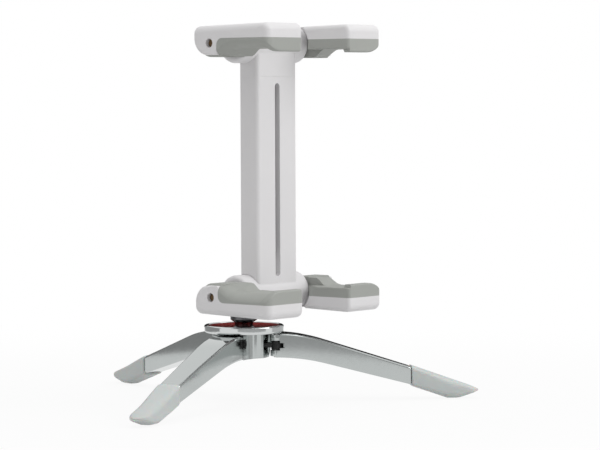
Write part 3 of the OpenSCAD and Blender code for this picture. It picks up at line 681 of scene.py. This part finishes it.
# %% Ball head
ring_low, ring_high = box_mm("trim_ring")
dish_low, dish_high = box_mm("dish")
stud_top = box_mm("ball_stud")[1][2]
disc_low, disc_high = box_mm("friction_disc")
MOUTH, RIM_W, PLATE = 3.3, 0.8, ring_low[2] + 0.6
DISH_IN, DISH_WALL, DISH_LINE_SHARE = 3.97, 0.35, 0.35
ring_r, rim_in = ring_high[0], ring_high[0] - RIM_W
ring_profile = rounded([(MOUTH, ring_low[2]), (ring_r, ring_low[2]), (ring_r, ring_high[2]),
                        (rim_in, ring_high[2]), (rim_in, PLATE), (MOUTH, PLATE)],
                       [0.1, 0.45, 0.42, 0.34, 0.03, 0.1])
piece("trim_ring_plated", washer(ring_profile, around=160), "stand", "ring_chrome", ["trim_ring"])

u = np.linspace(0, 1, 14)
climb = DISH_LINE_SHARE * u + (1 - DISH_LINE_SHARE) * u**3
top = np.column_stack([DISH_IN + (rim_in - DISH_IN) * u, dish_low[2] + DISH_WALL +
                       (dish_high[2] - dish_low[2] - DISH_WALL) * climb])
dish_profile = np.concatenate([[(rim_in, dish_low[2]), (DISH_IN, dish_low[2])], top])
piece("dish_red_cup", washer(dish_profile, around=160), "stand", "dish_red", ["dish"])

# %% Stud and disc
BALL_R, BALL_Z, BALL_FROM, BALL_TO = 3.6, 14.9, -1.53, 0.91
NECK_R, COLLAR_R, COLLAR_H = 2.2, 3.2, 1.6
STUD_R, TURN_LONG, TURN_DEEP, CUP_RISE, CUP_GAP, CUP_WALL = 3.17, 1.27, 0.32, 1.1, 0.12, 0.35
collar_low = disc_low[2] - COLLAR_H
t = np.linspace(BALL_FROM, BALL_TO, 24)
ball = np.column_stack([BALL_R * np.cos(t), BALL_Z + BALL_R * np.sin(t)])
neck = [(NECK_R, collar_low - 0.9), (NECK_R + 0.1, collar_low - 0.55),
        (COLLAR_R - 0.25, collar_low - 0.15), (COLLAR_R, collar_low + 0.1),
        (COLLAR_R, disc_low[2] - 0.12), (COLLAR_R - 0.1, disc_low[2] - 0.02)]
turns = np.arange(disc_high[2] + 0.3, stud_top - 0.6, TURN_LONG / 4)
depth = TURN_DEEP * (1 + np.cos(2 * np.pi * (turns - disc_high[2]) / TURN_LONG))
thread = np.column_stack([STUD_R - depth, turns])
shank = [(STUD_R, disc_low[2]), (STUD_R, disc_high[2])]
tip = [(2.5, stud_top - 0.1), (2.2, stud_top), (POLE_R, stud_top)]
piece("ball_and_stud", lathe(np.concatenate([ball, neck, shank, thread, tip]), around=96), "ball",
      "stud_steel", ["ball_stud"])
disc_r, disc_top, cup_in = disc_high[0], disc_high[2], BLOCK_R + CUP_GAP
cup_out, cup_top, disc_bore = cup_in + CUP_WALL, disc_top + CUP_RISE, STUD_R + 0.01
disc_profile = rounded([(disc_bore, disc_low[2]), (disc_r, disc_low[2]), (cup_out, disc_top - 0.25),
                        (cup_out, cup_top), (cup_in, cup_top), (cup_in, disc_top),
                        (disc_bore, disc_top)],
                       [0.05, 0.25, 0.3, 0.15, 0.1, 0.05, 0.05])
piece("grip_disc", washer(disc_profile), "ball", "disc_rubber", ["friction_disc"])

# %% [markdown]
# A leg is level where it leaves the hub, bends at the knee and falls straight to its foot. The
# bend is a quadratic curve, and the section is a rectangle with rounded edges, so every station
# along the leg is a rounded outline of the height and width found there.

# %% Leg sizes
hub_top = box_mm("hub")[1][2]
ROOT_Z, ROOT_H, ROOT_W = box_mm("base_plug")[0][2], 5.7, 7.0
KNEE_R, FOOT_R, END_Z, END_H, END_W = 13.0, 39.6, 3.4, 4.2, 5.2
KNEE_SHARE, SEAM_R, HINGE_GAP, LEG_EDGE = 0.45, 7.5, 1.2, 0.55
SOLE_R, SOLE_END, TOE_R, TOE_Z, SKIN = 48.4, 51.0, 55.9, 2.2, 0.35
FIXED_TURN, TIP, SLANT_FADE = np.radians(196), 0.35, 8.0
print("legs leave the hub", round(ROOT_H, 2), "mm high and end", END_H, "mm high")


# %% Leg helpers
def knee_line(root_z, end_z):
    """Radius and height along a leg's edge: level, a quadratic bend round the knee, straight."""
    u = np.linspace(0, 1, 24)
    a = np.array([KNEE_R * (1 - KNEE_SHARE), root_z])
    b = np.array([KNEE_R, root_z])
    c = b + (np.array([FOOT_R, end_z]) - b) * KNEE_SHARE / 2
    bend = (1 - u)[:, None] ** 2 * a + (2 * u * (1 - u))[:, None] * b + u[:, None] ** 2 * c
    return np.concatenate([[(0, root_z)], bend, [(FOOT_R, end_z)]])


def leg_section(r):
    """Half width, low edge and high edge of a leg at each radius."""
    top, low = knee_line(ROOT_Z + ROOT_H, END_Z + END_H), knee_line(ROOT_Z, END_Z)
    half = np.interp(r, [0, KNEE_R, FOOT_R], [ROOT_W / 2, ROOT_W / 2, END_W / 2])
    return half, np.interp(r, low[:, 0], low[:, 1]), np.interp(r, top[:, 0], top[:, 1])


def turned(points, angle):
    """Points of a leg drawn along +X, turned about Z by an angle."""
    c, s = np.cos(angle), np.sin(angle)
    x, y = points[..., 0], points[..., 1]
    return np.stack([c * x - s * y, s * x + c * y, points[..., 2]], axis=-1)


def leg_rings(start, angle, slant=0.0, end=FOOT_R, edge=LEG_EDGE):
    """Rings of a leg from a start radius to its foot, as rounded rectangles. The last and first
    stations draw in over a small radius, and slant tips the root's end face."""
    ends = TIP * (1 - np.cos(np.linspace(0, np.pi / 2, 5)))
    r = np.concatenate([start + ends, np.linspace(start + TIP, end - TIP, 48)[1:],
                        (end - ends)[::-1][1:]])
    half, low, high = leg_section(r)
    inset = drop(r, start, end, TIP)
    half, low, high = half - inset, low + inset, high - inset
    corners = np.stack([np.stack([-half, low], -1), np.stack([half, low], -1),
                        np.stack([half, high], -1), np.stack([-half, high], -1)], axis=1)
    outline = rounded(corners, [edge] * 4, 6)
    shift = slant * ((outline[..., 1] - low[:, None]) / (high - low)[:, None] - 0.5)
    fade = smooth(1 - (r - start) / SLANT_FADE)[:, None]
    x = r[:, None] + shift * fade
    return turned(np.stack([x, outline[..., 0], outline[..., 1]], axis=-1), angle)


# %% [markdown]
# A foot is a rubber sleeve with a crowned top, a level sole and a toe that turns up. Its section
# is a superellipse, |y/w|^n + |z/h|^n = 1, which is boxy where it meets the leg and rounder
# towards the toe.


# %% Feet helper
NOSE, TOE_HALF, MOUTH_EDGE, NOSE_END, NOSE_FLAT_SHARE = 2.6, 2.36, 0.3, 0.004, 0.0004
BOXY, ROUNDER, BOXY_FADE, TOE_THICK_SHARE = 5.5, 2.3, 10.0, 0.35


def foot_rings(angle):
    """Rings of a rubber foot. Half width and height follow the CAD foot's lines, and at the
    toe both shrink as sqrt(1 - t^2) to close the nose."""
    a = np.linspace(0, np.pi / 2, 12)
    r = np.concatenate([FOOT_R + MOUTH_EDGE * (1 - np.cos(np.linspace(0, np.pi / 2, 4))),
                        np.linspace(FOOT_R + MOUTH_EDGE, TOE_R - NOSE, 20)[1:],
                        (TOE_R - NOSE + NOSE * np.sin(a))[1:-1], [TOE_R - NOSE_END]])
    half = np.interp(r, [FOOT_R, TOE_R], [END_W / 2 + SKIN, TOE_HALF])
    low = np.interp(r, [FOOT_R, SOLE_R, SOLE_END, TOE_R], [END_Z - SKIN, 0, 0, TOE_Z * 2 / 3])
    high = np.interp(r, [FOOT_R, TOE_R], [END_Z + END_H + SKIN, TOE_Z])
    t = np.clip((r - TOE_R + NOSE) / NOSE, 0, 1)
    shrink = np.sqrt(np.maximum(1 - t**2, NOSE_FLAT_SHARE))
    rim = drop(r, FOOT_R, TOE_R + NOSE, MOUTH_EDGE)
    half, height = half * shrink - rim, (high - low) / 2 - rim
    height = height * (TOE_THICK_SHARE + (1 - TOE_THICK_SHARE) * shrink)
    middle = (high + low) / 2
    n = BOXY - ROUNDER * smooth((r - FOOT_R) / BOXY_FADE)
    b = np.linspace(0, 2 * np.pi, 48, endpoint=False)
    c, s, power = np.cos(b), np.sin(b), 2 / n[:, None]
    y = half[:, None] * np.sign(c) * np.abs(c) ** power
    z = middle[:, None] + height[:, None] * np.sign(s) * np.abs(s) ** power
    x = np.broadcast_to(r[:, None], y.shape)
    return turned(np.stack([x, y, z], axis=-1), angle)


# %% [markdown]
# The side legs turn on upright pins that lie to one side, so the hub is cut back where a folded
# leg lies. Each hinge is a thin tongue of the hub between two polished knuckles of the leg, and
# the leg is notched for the tongue's neck. The tongue is near black, painted shade for the seam.
# The corners between the legs are filled with large arcs, as a casting has them.

# %% Side legs and feet
THIRD, LOBE_R, PIN_SIDE, SLANT = np.radians(120), 1.5, 2.0, 1.0
LOBE_LOOK, LOBE_INSET, LOBE_EDGE, HINGE_PLAY = 1.45, 0.3, 0.1, 0.15
TONGUE_LOW, TONGUE_HIGH, TONGUE_R, TONGUE_BORE_R, LEG_BORE_R = 12.25, 14.25, 1.25, 0.72, 0.75
NECK_LOW, NECK_HIGH, NECK_HALF, NECK_LONG = 12.75, 13.75, 0.6, 2.6
NOTCH_DEEP, NOTCH_LONG, NOTCH_PLAY = 2.5, 1.8, 0.1
LOWER_TOP, UPPER_LOW = TONGUE_LOW - HINGE_PLAY, TONGUE_HIGH + HINGE_PLAY
leg_angles = {"left": FIXED_TURN - THIRD, "right": FIXED_TURN + THIRD}
pin_sides = {"left": 1, "right": -1}
pins = {side: turned(np.array([SEAM_R, pin_sides[side] * PIN_SIDE, 0]), leg_angles[side])
        for side in leg_angles}
for side, angle in leg_angles.items():
    pin = pins[side]
    socket = rod(LOBE_R + HINGE_PLAY, LOWER_TOP, UPPER_LOW, pin, edge=CUT_EDGE)
    bore = rod(LEG_BORE_R, ROOT_Z - OVER, ROOT_Z + ROOT_H + OVER, pin, edge=CUT_EDGE, around=32)
    y0, y1 = sorted([0, pin_sides[side] * NOTCH_DEEP])
    notch = brick((-OVER, y0, NECK_LOW - NOTCH_PLAY), (NOTCH_LONG, y1, NECK_HIGH + NOTCH_PLAY))
    notch = (turned(notch[0], angle) + pin, notch[1])
    piece(f"{side}_leg_bar", stack(leg_rings(SEAM_R, angle, SLANT)), f"{side}_leg", "legs_chrome",
          [f"{side}_leg"], cuts=[socket, bore, notch])
    low_lobe = rod(LOBE_LOOK, ROOT_Z + LOBE_INSET, LOWER_TOP, pin, edge=LOBE_EDGE)
    high_lobe = rod(LOBE_LOOK, UPPER_LOW, ROOT_Z + ROOT_H - LOBE_INSET, pin, edge=LOBE_EDGE)
    for part, lobe in (("lower", low_lobe), ("upper", high_lobe)):
        piece(f"{side}_leg_{part}_knuckle", lobe, f"{side}_leg", "legs_chrome", [f"{side}_leg"],
              cuts=[bore])
    piece(f"{side}_foot_rubber", stack(foot_rings(angle)), f"{side}_leg", "foot_rubber",
          [f"{side}_foot"])
piece("front_foot_rubber", stack(foot_rings(FIXED_TURN)), "stand", "foot_rubber", ["front_foot"])


# %% Hub
HUB_R, HUB_EDGE, LEG_START, STUB_START, STUB_SIDE, STUB_INSET = 5.6, 0.35, 2.0, 1.37, 0.05, 0.04
FILL_R, REAR_FILL_R, FILL_INNER, ARC_ON, SEAT_BORE_R = 9.0, 6.0, 0.5, 0.1, 4.15
ROOM_GAP, ROOM_LONG, ROOM_HIGH = LOBE_R + 0.34, 60.0, 2.0


def corner_fill(angle, radius=FILL_R, steps=12):
    """A block in the corner between two legs, in plan: an arc that touches both legs' sides.
    The corner lies w/(2 sin 60) from the centre, and the arc touches radius*tan(30) beyond. It
    runs on by ARC_ON radians, because faces that only touch don't join cleanly, and so it ends
    in a step of radius*(1 - cos(ARC_ON)), under 0.05 mm, beside each leg."""
    side = ROOT_W / 2
    corner = side / np.sin(THIRD / 2)
    centre = corner + radius / np.cos(np.pi / 6)
    a = np.pi + np.linspace(-np.pi / 6 - ARC_ON, np.pi / 6 + ARC_ON, steps)
    arc = np.column_stack([centre + radius * np.cos(a), radius * np.sin(a)])
    outline = np.concatenate([[(FILL_INNER, 0)], arc])
    rings = prism(outline[::-1], ROOT_Z, ROOT_Z + ROOT_H, 0.0)
    rings[:, :, :2] = turned(rings, angle)[..., :2]
    return stack(rings[[0, -1]])


def stub(angle):
    """A short block from the hub to a side leg's seam, level and with the leg's rounded section.
    Its end face leans: x + slant*(share of the height - 1/2)*(share of the length)."""
    end = SEAM_R - HINGE_GAP
    half, low, high = ROOT_W / 2 - STUB_SIDE, ROOT_Z + STUB_INSET, ROOT_Z + ROOT_H - STUB_INSET
    outline = box_outline(-half, half, low, high, LEG_EDGE)
    rings = prism(outline, STUB_START, end, LOBE_INSET, axis="x")
    rings[..., 0] += SLANT * ((rings[..., 2] - ROOT_Z) / ROOT_H - 0.5) * rings[..., 0] / end
    return stack(turned(rings, angle))


def folded_room(side):
    """The block that a folded leg lies in, a little larger than the leg."""
    y0, y1 = (-ROOM_GAP, ROOT_W) if pin_sides[side] < 0 else (-ROOT_W, ROOM_GAP)
    points, faces = brick((0, y0, ROOT_Z - OVER), (ROOM_LONG, y1, ROOT_Z + ROOT_H + ROOM_HIGH))
    return turned(points, FIXED_TURN) + pins[side], faces


hub_core = rod(HUB_R, ROOT_Z, hub_top, edge=HUB_EDGE, around=96)
stubs = [stub(angle) for angle in leg_angles.values()]
fills = [corner_fill(FIXED_TURN + THIRD / 2), corner_fill(FIXED_TURN - THIRD / 2),
         corner_fill(FIXED_TURN + np.pi, REAR_FILL_R)]
rooms = [folded_room(side) for side in leg_angles]
sockets = [rod(LOBE_R + HINGE_PLAY, ROOT_Z - OVER, hub_top + OVER, pin, edge=CUT_EDGE)
           for pin in pins.values()]
seat_bore = rod(SEAT_BORE_R, ROOT_Z - OVER, hub_top + OVER, edge=CUT_EDGE, around=96)
fixed_leg = stack(leg_rings(LEG_START, FIXED_TURN))
piece("hub_casting", hub_core, "stand", "legs_chrome", ["hub"],
      joins=[*fills, *stubs, fixed_leg], cuts=[*rooms, *sockets, seat_bore])
for side, pin in pins.items():
    neck_block = brick((-NECK_LONG, -NECK_HALF, NECK_LOW), (0, NECK_HALF, NECK_HIGH))
    neck_block = (turned(neck_block[0], leg_angles[side]) + pin, neck_block[1])
    bore = rod(TONGUE_BORE_R, ROOT_Z, ROOT_Z + ROOT_H, pin, edge=CUT_EDGE, around=32)
    tongue = rod(TONGUE_R, TONGUE_LOW, TONGUE_HIGH, pin, edge=LOBE_EDGE)
    # The tongue takes the near-black painted-shade finish.
    piece(f"{side}_hub_tongue", tongue, "stand", "legs_chrome", ["hub"], joins=[neck_block],
          cuts=[bore], look="hinge_painted_shade")

# %% [markdown]
# Floor and light. The floor is a pale plane that only gives a soft shadow, and the world is
# white to the camera and to reflections. The lamps are large and close to even, with the right
# side a little brighter, as in the photograph. Polished metal needs something darker to show, so
# four cards stand round the object, as in a real studio: only reflections see them.

# %% Studio
scene = bpy.context.scene
scene.view_settings.view_transform = "Standard"
FLOOR_DROP, FLOOR_SIDE, FLOOR_GREY, FLOOR_WHITE, FLOOR_REACH = 0.0002, 6, 0.72, 0.91, (0.05, 0.22)
ROOM_LIGHT, SEEN_LIGHT, CLAMP_MIDDLE = 0.66, 1.0, Vector((0, 0, 0.045))
CARDS = (
    ("card_behind", (0.19, 0.16, 0.05), 0.40, 0.12, 0.02),
    ("card_front", (-0.055, -0.115, 0.05), 0.22, 0.10, 0.50),
    ("card_right", (0.085, -0.03, 0.05), 0.12, 0.10, 0.60),
    ("card_left", (-0.04, 0.115, 0.05), 0.20, 0.10, 0.34),
)


def plane(name, centre, width, depth, material, facing=(0, 0, 1)):
    """A flat card of the given size round its centre, facing one way."""
    n = Vector(facing).normalized()
    quarter = n.to_track_quat("Z", "Y").to_matrix().to_4x4()
    signs = ((-1, -1), (1, -1), (1, 1), (-1, 1))
    corners = [Vector((x * width / 2, y * depth / 2, 0)) for x, y in signs]
    there = Matrix.Translation(Vector(centre)) @ quarter
    mesh = bpy.data.meshes.new(name)
    mesh.from_pydata([there @ corner for corner in corners], [], [(0, 1, 2, 3)])
    card = bpy.data.objects.new(name, mesh)
    scene.collection.objects.link(card)
    mesh.materials.append(material)
    return card


def new_nodes(tree, *kinds):
    """One new shader node of each kind, in the order named."""
    return [tree.nodes.new(f"ShaderNode{kind}") for kind in kinds]


def seen_or_mirrored(tree):
    """A socket that is 1 for camera and glossy rays and 0 for all others: their maximum."""
    path, either = new_nodes(tree, "LightPath", "Math")
    either.operation = "MAXIMUM"
    tree.links.new(path.outputs["Is Camera Ray"], either.inputs[0])
    tree.links.new(path.outputs["Is Glossy Ray"], either.inputs[1])
    return either.outputs["Value"]


def paper(name, grey, white_share, reach):
    """Floor paper: a diffuse pale colour with a share of it shown as plain white to the camera
    and to reflections, so that the ground stays light but keeps a shadow. The share rises from
    white_share to 1 between the two distances of reach, so that no horizon shows."""
    material = bpy.data.materials.new(name)
    material.use_nodes = True
    tree, link = material.node_tree, material.node_tree.links.new
    tree.nodes.clear()
    out, face, glow, blend = new_nodes(tree, "OutputMaterial", "BsdfDiffuse", "Emission", "MixShader")
    share, place, away, rise = new_nodes(tree, "Math", "TexCoord", "VectorMath", "MapRange")
    face.inputs["Color"].default_value = (grey, grey, grey, 1)
    glow.inputs["Color"].default_value = (1, 1, 1, 1)
    share.operation, away.operation, rise.interpolation_type = "MULTIPLY", "LENGTH", "SMOOTHSTEP"
    link(seen_or_mirrored(tree), share.inputs[0])
    link(place.outputs["Object"], away.inputs[0])
    link(away.outputs["Value"], rise.inputs["Value"])
    rise.inputs["From Min"].default_value, rise.inputs["From Max"].default_value = reach
    rise.inputs["To Min"].default_value, rise.inputs["To Max"].default_value = white_share, 1.0
    link(rise.outputs["Result"], share.inputs[1])
    link(share.outputs["Value"], blend.inputs["Fac"])
    link(face.outputs["BSDF"], blend.inputs[1])
    link(glow.outputs["Emission"], blend.inputs[2])
    link(blend.outputs["Shader"], out.inputs["Surface"])
    return material


ground = paper("floor_paper", FLOOR_GREY, FLOOR_WHITE, FLOOR_REACH)
plane("floor", (0, 0, -FLOOR_DROP), FLOOR_SIDE, FLOOR_SIDE, ground)

world = bpy.data.worlds.new("studio")
scene.world = world
world.use_nodes = True
sky, link = world.node_tree, world.node_tree.links.new
surround = sky.nodes["Background"]
surround.inputs["Color"].default_value = (1, 1, 1, 1)
strength = sky.nodes.new("ShaderNodeMapRange")
link(seen_or_mirrored(sky), strength.inputs["Value"])
strength.inputs["To Min"].default_value = ROOM_LIGHT
strength.inputs["To Max"].default_value = SEEN_LIGHT
link(strength.outputs["Result"], surround.inputs["Strength"])


def lamp(name, place, size, watts):
    """A square soft light at a place in metres, aimed at the clamp's middle."""
    light = bpy.data.lights.new(name, "AREA")
    light.size, light.energy = size, watts
    made = bpy.data.objects.new(name, light)
    scene.collection.objects.link(made)
    aim = CLAMP_MIDDLE - Vector(place)
    facing = aim.to_track_quat("-Z", "Y").to_matrix().to_4x4()
    made.matrix_world = Matrix.Translation(Vector(place)) @ facing
    return made


lamp("front_right", (0.30, -0.62, 0.45), 0.5, 2.1)
lamp("overhead", (-0.1, -0.1, 0.9), 0.7, 2.2)


# %% Cards for the metal
def flag(name, place, width, height, shade):
    """An upright card that only reflections see, facing the stand, of one even shade."""
    material = bpy.data.materials.new(name)
    material.use_nodes = True
    tree = material.node_tree
    tree.nodes.clear()
    glow, out = new_nodes(tree, "Emission", "OutputMaterial")
    glow.inputs["Color"].default_value = (shade, shade, shade, 1)
    tree.links.new(glow.outputs["Emission"], out.inputs["Surface"])
    card = plane(name, place, width, height, material, (-place[0], -place[1], 0))
    card.visible_camera = card.visible_diffuse = card.visible_shadow = False
    return card


for card in CARDS:
    flag(*card)
print("cards", len(CARDS), "lamps", len(bpy.data.lights))
